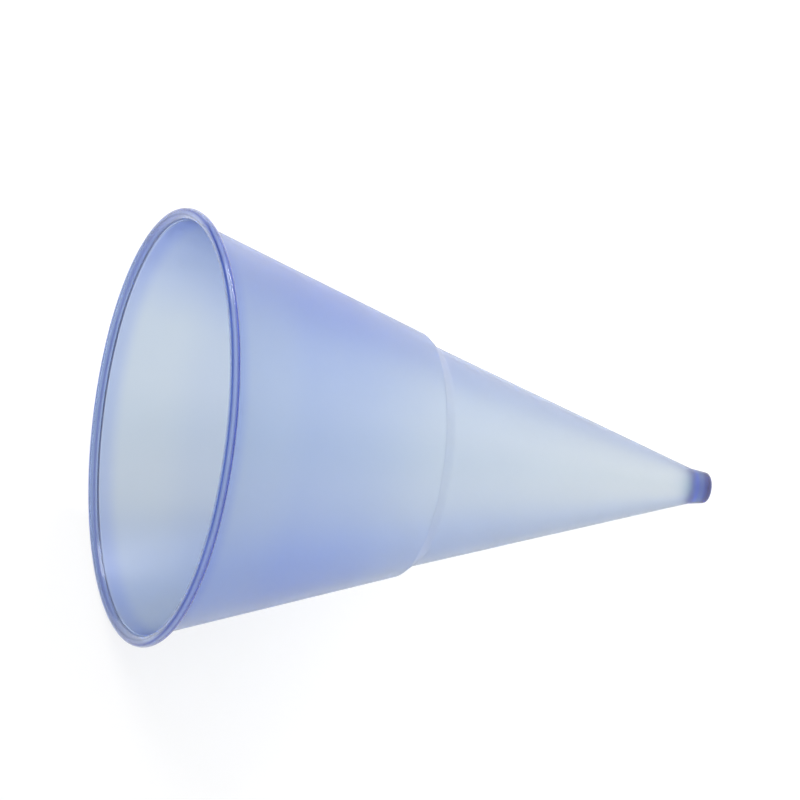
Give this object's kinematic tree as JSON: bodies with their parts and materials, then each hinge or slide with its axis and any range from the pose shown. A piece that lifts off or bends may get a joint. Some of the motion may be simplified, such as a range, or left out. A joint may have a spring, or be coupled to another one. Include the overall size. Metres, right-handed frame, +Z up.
{
  "type": "plastic cone cup",
  "caption": "Translucent blue plastic cone cup, lying on its side: rolled lip, thin conical wall with a small step, thick blunt tip.",
  "frame": {"origin": "under the middle of the bounding box, on the surface that the cup lies on", "axes": "+Z up, +X towards the tip and -X towards the mouth; the cup's own axis lies in the XZ plane, tip down, 19.6 degrees from +X"},
  "size_m": [0.1044, 0.073, 0.0689],
  "materials": {
    "blue_plastic": "thin translucent blue plastic, glossy outside and slightly milky"
  },
  "bodies": {
    "root": {"cone_cup": "blue_plastic"}
  },
  "joints": []
}
